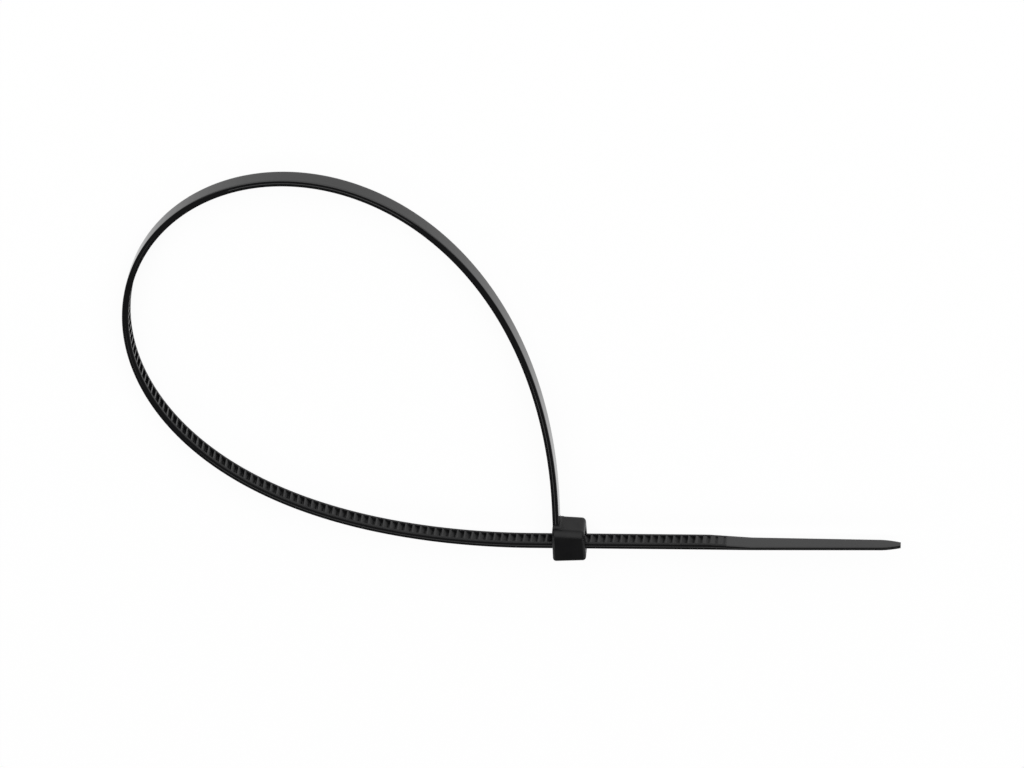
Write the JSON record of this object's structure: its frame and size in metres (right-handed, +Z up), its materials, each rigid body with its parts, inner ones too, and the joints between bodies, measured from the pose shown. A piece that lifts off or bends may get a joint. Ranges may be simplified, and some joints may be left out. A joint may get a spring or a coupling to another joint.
{
  "type": "cable tie",
  "caption": "Black nylon cable tie closed into a teardrop loop, its toothed strap drawn through a square pawl head and ending in a smooth pointed tail.",
  "frame": {"origin": "middle of the head's side face, on which the tie lies", "axes": "+X along the slot, out of the head towards the tip of the tail; +Y from the head to the face where the strap is rooted; +Z up, across the width of the strap. The loop lies on the -X side."},
  "size_m": [0.1434, 0.0813, 0.0066],
  "materials": {
    "black_nylon": "injection-moulded black nylon 6/6, glossy on the smooth outer face of the strap, satin on the head and between the teeth"
  },
  "bodies": {
    "root": {"cable_tie": "black_nylon"}
  },
  "joints": []
}
